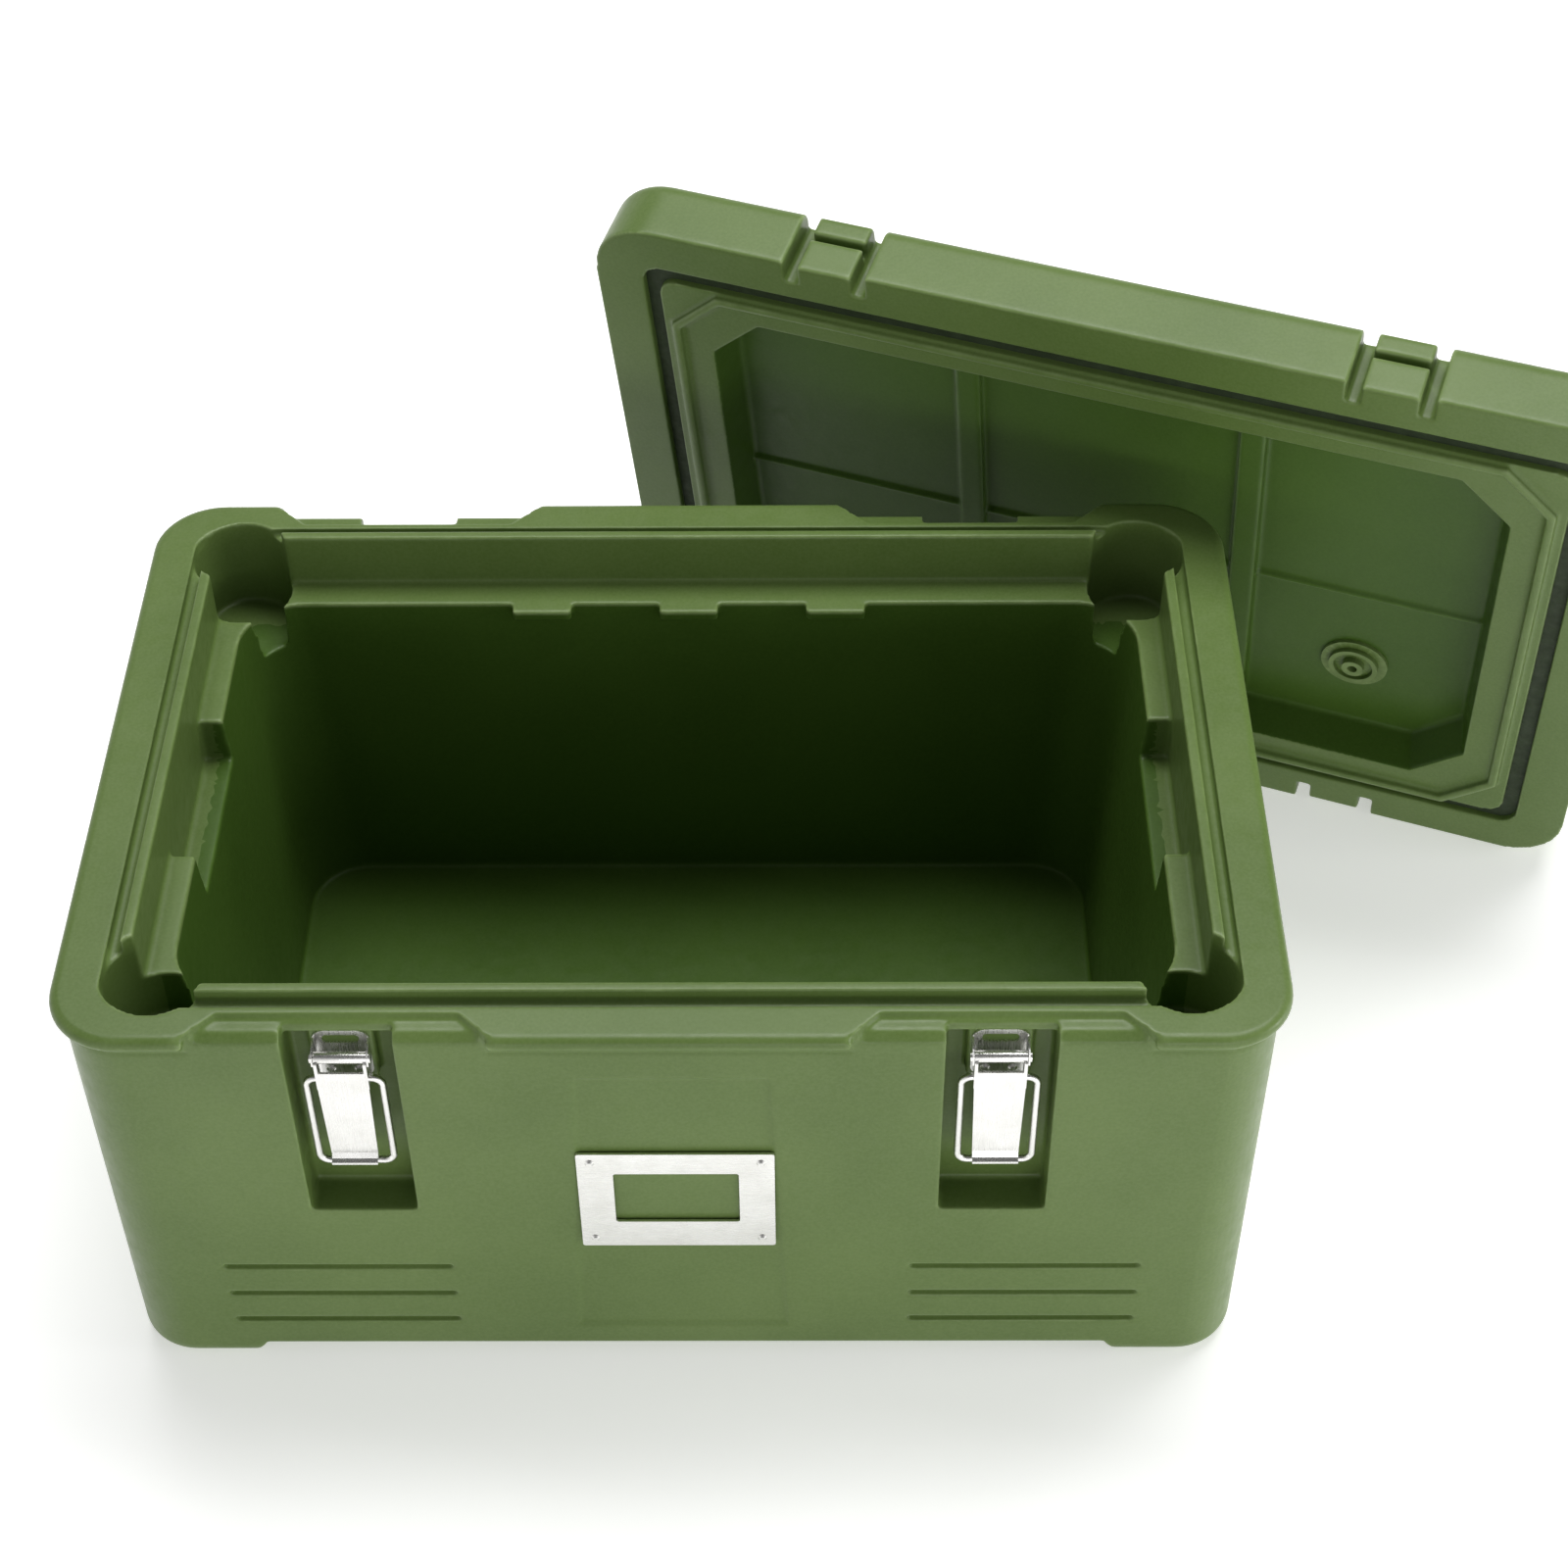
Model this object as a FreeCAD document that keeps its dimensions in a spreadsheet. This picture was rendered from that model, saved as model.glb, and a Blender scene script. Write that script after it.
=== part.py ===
"""Rotomoulded footlocker: a double-walled tub, a lift-off lid standing behind it, four draw latches, two end
handles, a card frame and a pressure valve.

Millimetres. +X runs along the box, +Y to its rear, +Z up. The origin is the middle of the box on the floor.
Every driving size is a cell of the sheet "Sizes", and sketches, primitives and placements are bound to them.
"""
import FreeCAD
import Part
import Sketcher
import math
import os

from FreeCAD import Placement, Rotation, Vector

doc = FreeCAD.newDocument("Footlocker")
sheet = doc.addObject("Spreadsheet::Sheet", "Sizes")

CELLS = [
    # the tub, outside
    ("box_length", 800, "rim, along X"),
    ("box_depth", 530, "rim, along Y"),
    ("rim_height", 360, "floor to the land of the rim"),
    ("corner_radius", 49, "rim corners, seen from above"),
    ("wall_inset", 7, "rim edge to wall face"),
    ("neck_inset", 12, "rim edge to the neck under the band"),
    ("band_top", 352, "height at which the band starts to taper"),
    ("band_drop", 11, "height of the tapered band"),
    ("band_angle", 40, "taper of the band, degrees"),
    ("rim_round", 6, "rounding of the rim's outer edge"),
    ("shoulder_height", 340, "top of the outer wall"),
    ("foot_height", 17, "floor to the underside between the feet"),
    ("foot_length", 84, "foot, along X and along Y"),
    ("middle_foot_length", 220, "foot under the middle, along X"),
    ("middle_foot_depth", 140, "foot under the middle, along Y"),
    ("base_radius", 14, "rounding of the lowest outer edge"),
    # rim and inside
    ("lip_length", 718, "outside of the raised lip"),
    ("lip_depth", 452, "outside of the raised lip"),
    ("lip_width", 8, "raised lip"),
    ("lip_rise", 5, "lip above the land"),
    ("seal_width", 9, "groove outside the lip"),
    ("seal_drop", 6, "depth of that groove"),
    ("ledge_height", 322, "floor to the inner ledge"),
    ("cavity_length", 666, "cavity at the ledge"),
    ("cavity_depth", 385, "cavity at the ledge"),
    ("floor_length", 622, "cavity at its floor"),
    ("floor_depth", 372, "cavity at its floor"),
    ("floor_height", 42, "floor to the cavity's floor"),
    ("pocket_reach", 334, "corner pocket centre, along X"),
    ("pocket_side", 207, "corner pocket centre, along Y"),
    ("pocket_radius", 34, "corner pocket"),
    ("pocket_floor", 285, "floor of the corner pockets and of the pockets in the end ledges"),
    ("end_pocket_width", 132, "pocket in an end ledge, over the handle recess"),
    ("tab_width", 44, "shelf tab"),
    ("tab_pitch", 110, "between shelf tabs"),
    ("tab_reach", 9, "shelf tab past the ledge"),
    ("tab_height", 9, "shelf tab"),
    ("skin", 6, "moulded skin"),
    # mouldings on the long walls
    ("zone_width", 176, "flat boss round each latch, at the top"),
    ("zone_flare", 12, "how far the boss's ends slope out"),
    ("zone_foot", 330, "lower edge of the boss"),
    ("zone_height", 356, "top of the boss, below the land"),
    ("zone_back", 241, "where the land steps down to the boss, from the middle plane"),
    ("zone_back_half", 78, "half width of that step"),
    ("zone_bevel", 6, "bevel along the top of the boss"),
    ("line_height", 5, "moulded line"),
    ("line_drop", 4.5, "depth of a moulded line"),
    ("line_inner", 158, "inner end of the lines"),
    ("line_outer", 318, "outer end of the lines"),
    ("line_low", 46, "lowest line"),
    ("line_pitch", 31.5, "between lines"),
    ("panel_top", 315, "faint panel behind the card frame"),
    ("panel_low", 39, "faint panel, lower edge"),
    ("panel_half_top", 63, "faint panel, half width at the top"),
    ("panel_half_low", 74, "faint panel, half width at the foot"),
    ("panel_drop", 1.5, "faint panel depth"),
    # latches
    ("latch_reach", 212, "latch centre, along X"),
    ("recess_width", 72, "latch recess"),
    ("recess_low", 175, "latch recess, lower edge"),
    ("recess_roof", 348, "latch recess, height of its shallow top"),
    ("recess_back", 230, "latch recess back, from the middle plane"),
    ("notch_back", 246, "shallow top of the recess, from the middle plane"),
    ("pad_face", 240, "latch mounting pad, from the middle plane"),
    ("pad_half", 21.5, "latch mounting pad, half width"),
    ("pad_low", 296, "latch mounting pad, lower edge"),
    ("plate_gauge", 1.5, "latch base plate"),
    ("plate_half", 18.5, "latch base plate, half width"),
    ("plate_top", 344, "latch base plate"),
    ("pin_side", 251, "lever pin, from the middle plane"),
    ("pin_height", 328.7, "lever pin"),
    ("pin_radius", 2.5, "lever pin"),
    ("running_gap", 0.06, "radial clearance of a running fit"),
    ("barrel_radius", 4, "rolled top of the lever"),
    ("lever_half", 17, "lever, half width at the top"),
    ("lever_half_low", 15.2, "lever, half width at the foot"),
    ("lever_face", 255, "inner face of the lever plate"),
    ("lever_gauge", 1.8, "lever plate"),
    ("lever_top", 319, "lever plate"),
    ("lever_low", 231, "lever plate"),
    ("wire_radius", 2.5, "wire bail"),
    ("bail_side", 251.5, "bail pivot, from the middle plane"),
    ("bail_height", 309, "bail pivot"),
    ("bail_half", 24.7, "bail leg centre"),
    ("bail_length", 86, "bail pivot to its cross bar"),
    ("bail_bend", 7, "bail bends"),
    # card frame
    ("card_width", 132, "card frame"),
    ("card_low", 137, "card frame, lower edge"),
    ("card_tall", 101, "card frame"),
    ("card_gauge", 2, "card frame"),
    ("window_width", 84, "card window"),
    ("window_low", 164, "card window, lower edge"),
    ("window_tall", 53, "card window"),
    # lid
    ("lid_thick", 58, "rim plane to the top of the lid"),
    ("lid_round", 13, "rounding of the lid's top edges"),
    ("lid_yaw", 20.2, "standing lid, turned about Z, degrees"),
    ("lid_lean", 11.8, "standing lid, leaning to the box, degrees"),
    ("lid_place_x", 318.3, "standing lid, middle of its rim plane"),
    ("lid_place_y", 316.1, "standing lid, middle of its rim plane"),
    ("lid_place_z", 259.4, "standing lid, middle of its rim plane"),
    ("channel_width", 11, "channel for a bail leg"),
    ("channel_half", 26.5, "channel centre from the latch centre"),
    ("channel_back", 244, "channel back, from the middle plane"),
    ("keeper_shelf", 31.7, "shelf that the bail hooks on"),
    ("keeper_slot", 5.6, "slot above that shelf"),
    ("keeper_back", 248.6, "slot back, from the middle plane"),
    ("gasket_groove", 10, "depth of the lid's seal groove"),
    ("gasket_height", 4.7, "rubber seal"),
    ("bead_drop", 6, "locating bead under the lid"),
    ("bead_length", 682, "outside of the bead"),
    ("bead_depth", 428, "outside of the bead"),
    ("bead_width", 7, "bead"),
    ("corner_cut", 40, "corners cut off the bead and the inner panel"),
    ("tray_length", 620, "lid's inner panel at its edge"),
    ("tray_depth", 374, "lid's inner panel at its edge"),
    ("tray_drop", 34, "depth of the lid's inner panel"),
    ("tray_length_top", 606, "lid's inner panel at its face"),
    ("tray_depth_top", 360, "lid's inner panel at its face"),
    ("rib_reach", 112, "cross rib, from the middle"),
    ("rib_width", 20, "cross rib"),
    ("rib_rise", 8, "cross rib"),
    ("ridge_side", 14, "fine ridge along the inner panel"),
    ("valve_x", 209, "valve in the lid"),
    ("valve_y", 102, "valve in the lid"),
    ("valve_radius", 9, "valve stem"),
    ("nut_radius", 20, "valve nut inside"),
    ("knob_radius", 16, "valve knob outside"),
    # end handles
    ("grip_low", 178, "handle recess, lower edge"),
    ("grip_tall", 92, "handle recess"),
    ("grip_width", 150, "handle recess"),
    ("grip_drop", 24, "handle recess"),
    ("handle_height", 256, "handle pivot"),
    ("handle_side", 382, "handle pivot, from the middle plane"),
    ("handle_half", 52, "handle leg centre"),
    ("handle_length", 46, "handle pivot to its grip"),
    ("rod_radius", 3.5, "handle rod"),
    ("tube_radius", 7.5, "handle grip"),
]
VALUES = {}
for row, (alias, value, note) in enumerate(CELLS, 1):
    sheet.set("A%d" % row, alias)
    sheet.set("B%d" % row, str(value))
    sheet.set("C%d" % row, note)
    sheet.setAlias("B%d" % row, alias)
    VALUES[alias] = float(value)
doc.recompute()


class Dim:
    """A size with its value and the expression that binds it to the sheet."""

    def __init__(self, value, text):
        self.value = float(value)
        self.text = text

    def __add__(self, other):
        other = dim(other)
        return Dim(self.value + other.value, "(%s + %s)" % (self.text, other.text))

    def __sub__(self, other):
        other = dim(other)
        return Dim(self.value - other.value, "(%s - %s)" % (self.text, other.text))

    def __mul__(self, other):
        other = dim(other)
        return Dim(self.value * other.value, "(%s * %s)" % (self.text, other.text))

    def __truediv__(self, other):
        other = dim(other)
        return Dim(self.value / other.value, "(%s / %s)" % (self.text, other.text))

    def __neg__(self):
        return Dim(-self.value, "(0 - %s)" % self.text)

    def __radd__(self, other):
        return dim(other) + self

    def __rsub__(self, other):
        return dim(other) - self

    def __rmul__(self, other):
        return dim(other) * self


def dim(size):
    """A number, the name of a cell, or a Dim, as a Dim."""
    if isinstance(size, Dim):
        return size
    if isinstance(size, str):
        return Dim(VALUES[size], "Sizes." + size)
    return Dim(size, "%.6g" % size if size >= 0 else "(0 - %.6g)" % -size)


def bind(thing, field, size):
    """Set a property of thing and bind it to the sheet."""
    thing.setExpression(field, dim(size).text)


PARTS = []  # every sub-part, in the order it is made


def register(thing, name):
    thing.Label = name
    PARTS.append(thing)
    return thing


# ---------------------------------------------------------------- sketch and feature helpers
def new_body(name):
    return register(doc.addObject("PartDesign::Body", name), name)


def new_sketch(body, name, role, offset):
    """A sketch on one of the body's own origin planes, moved along that plane's normal."""
    plane = [item for item in body.Origin.OriginFeatures if item.Role == role][0]
    sketch = body.newObject("Sketcher::SketchObject", name)
    sketch.AttachmentSupport = [(plane, "")]
    sketch.MapMode = "FlatFace"
    offset = dim(offset)
    sketch.AttachmentOffset = Placement(Vector(0, 0, offset.value), Rotation())
    bind(sketch, "AttachmentOffset.Base.z", offset)
    return sketch


def named(sketch, constraint, label, size):
    """Add a dimension to a sketch and bind it to the sheet."""
    index = sketch.addConstraint(constraint)
    sketch.renameConstraint(index, label)
    bind(sketch, "Constraints." + label, size)


def pin_point(sketch, label, geometry, vertex, x, y):
    """Hold one vertex of a sketch at x, y."""
    x, y = dim(x), dim(y)
    for kind, axis, size in (("DistanceX", "x", x), ("DistanceY", "y", y)):
        named(sketch, Sketcher.Constraint(kind, -1, 1, geometry, vertex, size.value), label + axis, size)


def rectangle(sketch, x, y, width, tall, radius=0, label="r"):
    """A rectangle about x, y, with rounded corners if radius isn't 0."""
    x, y, width, tall, radius = dim(x), dim(y), dim(width), dim(tall), dim(radius)
    a, b, r = width.value / 2, tall.value / 2, radius.value
    cx, cy = x.value, y.value
    turn = [(1, -1), (1, 1), (-1, 1), (-1, -1)]
    corners = [Vector(cx + a * i, cy + b * j, 0) for i, j in turn]
    first = sketch.GeometryCount
    if r == 0:
        for k in range(4):
            sketch.addGeometry(Part.LineSegment(corners[k], corners[(k + 1) % 4]), False)
        for k in range(4):
            pin_point(sketch, "%s%d" % (label, k), first + k, 1,
                      x + width / 2 * turn[k][0], y + tall / 2 * turn[k][1])
        return
    for k in range(4):
        here, there = corners[k], corners[(k + 1) % 4]
        way = (there - here).normalize()
        sketch.addGeometry(Part.LineSegment(here + way * r, there - way * r), False)
    for k in range(4):
        # the corner at the end of side k
        i, j = turn[(k + 1) % 4]
        centre = Vector(cx + (a - r) * i, cy + (b - r) * j, 0)
        start = math.radians(90 * k)
        circle = Part.Circle(centre, Vector(0, 0, 1), r)
        sketch.addGeometry(Part.ArcOfCircle(circle, start, start + math.pi / 2), False)
    for k in range(4):
        side, corner, after = first + k, first + 4 + k, first + (k + 1) % 4
        sketch.addConstraint(Sketcher.Constraint("Tangent", side, 2, corner, 1))
        sketch.addConstraint(Sketcher.Constraint("Tangent", corner, 2, after, 1))
        sketch.addConstraint(Sketcher.Constraint("Vertical" if k % 2 == 0 else "Horizontal", side))
        if k:
            sketch.addConstraint(Sketcher.Constraint("Equal", first + 4, corner))
    named(sketch, Sketcher.Constraint("Radius", first + 4, r), label + "radius", radius)
    pin_point(sketch, label + "a", first, 1, x + width / 2, y - tall / 2 + radius)
    pin_point(sketch, label + "b", first + 2, 1, x - width / 2, y + tall / 2 - radius)


def polygon(sketch, points, label="p"):
    """A closed outline through points, each held where it is."""
    points = [(dim(x), dim(y)) for x, y in points]
    first, count = sketch.GeometryCount, len(points)
    for k, (x, y) in enumerate(points):
        u, v = points[(k + 1) % count]
        sketch.addGeometry(Part.LineSegment(Vector(x.value, y.value, 0), Vector(u.value, v.value, 0)), False)
    for k, (x, y) in enumerate(points):
        sketch.addConstraint(Sketcher.Constraint("Coincident", first + k, 2, first + (k + 1) % count, 1))
        pin_point(sketch, "%s%d" % (label, k), first + k, 1, x, y)


def circle(sketch, x, y, radius, label="c"):
    x, y, radius = dim(x), dim(y), dim(radius)
    index = sketch.addGeometry(Part.Circle(Vector(x.value, y.value, 0), Vector(0, 0, 1), radius.value), False)
    pin_point(sketch, label, index, 3, x, y)
    named(sketch, Sketcher.Constraint("Radius", index, radius.value), label + "radius", radius)


def extrude(body, sketch, length, cut=False, flip=False, taper=0, both=False):
    """Pad or pocket a sketch, and make sure that it changed the body the right way."""
    doc.recompute()
    before = body.Shape.Volume if body.Tip and not body.Shape.isNull() else 0.0
    kind = "Pocket" if cut else "Pad"
    feature = body.newObject("PartDesign::" + kind, sketch.Name + kind)
    feature.Profile = sketch
    bind(feature, "Length", length)
    feature.Reversed = flip
    if both:
        feature.Midplane = True
    if dim(taper).value:
        bind(feature, "TaperAngle", taper)
    sketch.Visibility = False
    body.Tip = feature
    doc.recompute()
    change = body.Shape.Volume - before
    if (change >= 0) == cut or abs(change) < 1e-3:
        raise RuntimeError("%s changed the volume by %.3f" % (feature.Name, change))
    return feature


def block(body, name, low, high, x, y, width, depth, radius=0, cut=False):
    """A rounded block between two heights, seen from above as a rectangle about x, y."""
    low, high = dim(low), dim(high)
    sketch = new_sketch(body, name, "XY_Plane", high if cut else low)
    rectangle(sketch, x, y, width, depth, radius)
    return extrude(body, sketch, high - low, cut)


def slab(body, name, side, near, far, outline, cut=False):
    """Material between two distances from the middle plane on the front (-1) or the rear (1).

    outline(sketch) draws its outline in X and Z."""
    near, far = dim(near), dim(far)
    if cut:
        sketch = new_sketch(body, name, "XZ_Plane", -far * side)
        outline(sketch)
        return extrude(body, sketch, far - near, True, side > 0)
    sketch = new_sketch(body, name, "XZ_Plane", -near * side)
    outline(sketch)
    return extrude(body, sketch, far - near, False, side > 0)


def end_slab(body, name, side, near, far, y, z, width, tall, radius=0, cut=False):
    """The same at the left (-1) or right (1) end, with a rectangle in Y and Z."""
    near, far = dim(near), dim(far)
    sketch = new_sketch(body, name, "YZ_Plane", (far if cut else near) * side)
    rectangle(sketch, y, z, width, tall, radius)
    return extrude(body, sketch, far - near, cut, side < 0)


def round_edges(body, name, radius, wanted):
    """Fillet the edges of the body's tip that wanted(edge) picks."""
    doc.recompute()
    tip = body.Tip
    edges = ["Edge%d" % (i + 1) for i, edge in enumerate(tip.Shape.Edges) if wanted(edge)]
    fillet = body.newObject("PartDesign::Fillet", name)
    fillet.Base = (tip, edges)
    bind(fillet, "Radius", radius)
    body.Tip = fillet
    doc.recompute()
    return fillet


def cut_corners(sketch, width, depth, corner):
    """A rectangle about the origin with its corners cut off."""
    a, b, corner = dim(width) / 2, dim(depth) / 2, dim(corner)
    polygon(sketch, [(a, corner - b), (a, b - corner), (a - corner, b), (corner - a, b),
                     (-a, b - corner), (-a, corner - b), (corner - a, -b), (a - corner, -b)])


def loft_cut(body, name, low, high, bottom, top, radius, outline=None):
    """Take out a hollow that runs from one rounded rectangle at low to another at high.

    outline(sketch, width, depth, radius) draws another shape than a rounded rectangle."""
    doc.recompute()
    before = body.Shape.Volume
    sections = []
    for tag, height, (width, depth) in (("Low", low, bottom), ("High", high, top)):
        sketch = new_sketch(body, name + tag, "XY_Plane", height)
        if outline:
            outline(sketch, width, depth, radius)
        else:
            rectangle(sketch, 0, 0, width, depth, radius)
        sketch.Visibility = False
        sections.append(sketch)
    loft = body.newObject("PartDesign::SubtractiveLoft", name)
    loft.Profile = sections[0]
    loft.Sections = [sections[1]]
    body.Tip = loft
    doc.recompute()
    if body.Shape.Volume >= before:
        raise RuntimeError(name + " took nothing out")
    return loft


def cylinder(name, radius, length, at, axis="z"):
    """A Part cylinder that starts at at and runs along an axis ("-y" runs the other way)."""
    solid = doc.addObject("Part::Cylinder", name)
    bind(solid, "Radius", radius)
    bind(solid, "Height", length)
    turns = {"z": Rotation(), "-z": Rotation(Vector(1, 0, 0), 180), "x": Rotation(Vector(0, 1, 0), 90),
             "-x": Rotation(Vector(0, 1, 0), -90), "y": Rotation(Vector(1, 0, 0), -90),
             "-y": Rotation(Vector(1, 0, 0), 90)}
    at = [dim(c) for c in at]
    solid.Placement = Placement(Vector(*[c.value for c in at]), turns[axis])
    for field, c in zip("xyz", at):
        bind(solid, "Placement.Base." + field, c)
    return solid


def fuse(name, solids):
    joined = doc.addObject("Part::MultiFuse", name)
    joined.Shapes = solids
    return joined


def group(name, solids):
    kept = doc.addObject("Part::Compound", name)
    kept.Links = solids
    return register(kept, name)


def rivet(name, at, axis, head, shank, deep):
    """A domed head on the surface at at, with its shank running in along axis."""
    back = axis[1:] if axis.startswith("-") else "-" + axis
    dome = doc.addObject("Part::Cone", name + "Dome")
    bind(dome, "Radius1", head)
    bind(dome, "Radius2", dim(head) * 0.6)
    bind(dome, "Height", 1.3)
    stem = cylinder(name + "Stem", shank, deep, at, axis)
    rest = cylinder(name + "Rest", head, 0.4, at, back)
    dome.Placement = rest.Placement
    reach = {"x": Vector(0.4, 0, 0), "y": Vector(0, 0.4, 0), "z": Vector(0, 0, 0.4)}[back[-1]]
    dome.Placement.Base += -reach if back.startswith("-") else reach
    return fuse(name, [dome, rest, stem])


# ---------------------------------------------------------------- the tub
LONG_SIDES = (-1, 1)
ENDS = (-1, 1)
half_depth = dim("box_depth") / 2
half_length = dim("box_length") / 2
wall_side = half_depth - "wall_inset"
wall_end = half_length - "wall_inset"


def all_latches():
    """The centre along X and the side of each latch."""
    return [(x, side) for side in LONG_SIDES for x in (-dim("latch_reach"), dim("latch_reach"))]


def zone_outline(grow):
    """The boss round a latch: a trapezium whose ends slope out downwards."""
    def draw(sketch):
        for k, x in enumerate((-dim("latch_reach"), dim("latch_reach"))):
            top = dim("zone_width") / 2 + grow
            foot = top + "zone_flare"
            polygon(sketch, [(x - foot, dim("zone_foot") - grow), (x + foot, dim("zone_foot") - grow),
                             (x + top, dim("rim_height") + grow), (x - top, dim("rim_height") + grow)],
                    "z%d" % k)
    return draw


def recess_outline(low, high, half):
    def draw(sketch):
        for k, x in enumerate((-dim("latch_reach"), dim("latch_reach"))):
            rectangle(sketch, x, (dim(low) + high) / 2, dim(half) * 2, dim(high) - low, 0, "w%d" % k)
    return draw


def line_outline(sketch):
    """The three moulded lines on each half of a long wall."""
    for k in range(3):
        for i, sign in enumerate((-1, 1)):
            rectangle(sketch, (dim("line_inner") + "line_outer") / 2 * sign,
                      dim("line_low") + dim("line_pitch") * k,
                      dim("line_outer") - "line_inner", "line_height", 2, "l%d%d" % (k, i))


def make_tub():
    tub = new_body("tub_shell")
    # outer wall, its lowest edge rounded, and the neck and band under the rim
    block(tub, "Wall", 0, "shoulder_height", 0, 0, wall_end * 2, wall_side * 2,
          dim("corner_radius") - "wall_inset")
    round_edges(tub, "LowEdge", "base_radius", lambda edge: edge.BoundBox.ZMax < 0.01)
    block(tub, "Neck", dim("shoulder_height") - 5, "rim_height", 0, 0,
          dim("box_length") - dim("neck_inset") * 2, dim("box_depth") - dim("neck_inset") * 2,
          dim("corner_radius") - "neck_inset")
    block(tub, "Land", "band_top", "rim_height", 0, 0, "box_length", "box_depth", "corner_radius")
    round_edges(tub, "RimEdge", "rim_round", lambda edge: edge.BoundBox.ZMin > VALUES["rim_height"] - 0.01)
    band = new_sketch(tub, "Band", "XY_Plane", "band_top")
    rectangle(band, 0, 0, "box_length", "box_depth", "corner_radius")
    extrude(tub, band, "band_drop", False, True, -dim("band_angle"))
    # the band gives way to a flat boss round each pair of latches
    for side in LONG_SIDES:
        tag = "Front" if side < 0 else "Rear"
        slab(tub, "ZoneCut" + tag, side, wall_side, half_depth + 2, zone_outline(5), True)
        slab(tub, "Zone" + tag, side, wall_side - 12, wall_side, zone_outline(0))
        for k, x in enumerate((-dim("latch_reach"), dim("latch_reach"))):
            # the land steps down to the boss
            step = new_sketch(tub, "ZoneStep%d" % k + tag, "XY_Plane", "rim_height")
            back, half = dim("zone_back"), dim("zone_back_half")
            out = half_depth + 1 - back
            polygon(step, [(x - half - out, (back + out) * side), (x - half, back * side),
                           (x + half, back * side), (x + half + out, (back + out) * side)])
            extrude(tub, step, dim("rim_height") - "zone_height", True)
            chamfer = new_sketch(tub, "ZoneTop%d" % k + tag, "YZ_Plane", x - dim("zone_width") / 2 - 3)
            polygon(chamfer, [((wall_side - "zone_bevel") * side, "zone_height"),
                              ((wall_side + 1) * side, dim("zone_height") - "zone_bevel" - 1),
                              ((wall_side + 1) * side, dim("rim_height") + 3),
                              ((wall_side - "zone_bevel") * side, dim("rim_height") + 3)])
            extrude(tub, chamfer, dim("zone_width") + 6, True, True)
    # seal groove and raised lip
    block(tub, "SealGroove", dim("rim_height") - "seal_drop", "rim_height", 0, 0,
          dim("lip_length") + dim("seal_width") * 2, dim("lip_depth") + dim("seal_width") * 2,
          dim("corner_radius") - 25, True)
    block(tub, "Lip", dim("rim_height") - "seal_drop", dim("rim_height") + "lip_rise", 0, 0, "lip_length",
          "lip_depth", 14)
    # feet: the underside is raised everywhere but at the corners
    under = new_sketch(tub, "UnderAcross", "XZ_Plane", wall_side + 1)
    inner = wall_end - "foot_length"
    polygon(under, [(-inner, -1), (inner, -1), (inner, 0), (inner - 10, "foot_height"),
                    (10 - inner, "foot_height"), (-inner, 0)])
    extrude(tub, under, wall_side * 2 + 2, True)
    under = new_sketch(tub, "UnderAlong", "YZ_Plane", -wall_end - 1)
    inner = wall_side - "foot_length"
    polygon(under, [(-inner, -1), (inner, -1), (inner, 0), (inner - 10, "foot_height"),
                    (10 - inner, "foot_height"), (-inner, 0)])
    extrude(tub, under, wall_end * 2 + 2, True, True)
    block(tub, "MiddleFoot", 0, dim("foot_height") + 1, 0, 0, "middle_foot_length", "middle_foot_depth", 20)
    # the inside: mouth, cavity and corner pockets
    block(tub, "Mouth", "ledge_height", dim("rim_height") + "lip_rise", 0, 0,
          dim("lip_length") - dim("lip_width") * 2, dim("lip_depth") - dim("lip_width") * 2, 16, True)
    loft_cut(tub, "Cavity", "floor_height", "ledge_height", ("floor_length", "floor_depth"),
             ("cavity_length", "cavity_depth"), 44)
    pockets = new_sketch(tub, "Pockets", "XY_Plane", dim("rim_height") + "lip_rise")
    for k, (i, j) in enumerate(((-1, -1), (1, -1), (1, 1), (-1, 1))):
        circle(pockets, dim("pocket_reach") * i, dim("pocket_side") * j, "pocket_radius", "c%d" % k)
    extrude(tub, pockets, dim("rim_height") + "lip_rise" - "pocket_floor", True)
    # shelf tabs on the ledges
    for side in LONG_SIDES:
        for k in (-1, 0, 1):
            block(tub, "Tab%s%d" % ("Front" if side < 0 else "Rear", k + 1),
                  dim("ledge_height") - "tab_height", "ledge_height", dim("tab_pitch") * k,
                  (dim("cavity_depth") / 2 + dim("tab_reach") / 2 - 5) * side,
                  "tab_width", dim("tab_reach") + 10, 3)
    # a pocket in the middle of each end ledge
    for side in ENDS:
        far = dim("lip_length") / 2 - "lip_width"
        near = dim("cavity_length") / 2 - 10
        block(tub, "EndPocket%s" % ("Left" if side < 0 else "Right"), "pocket_floor", dim("ledge_height") + 1,
              (near + far) / 2 * side, 0, far - near, "end_pocket_width", 4, True)
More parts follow.
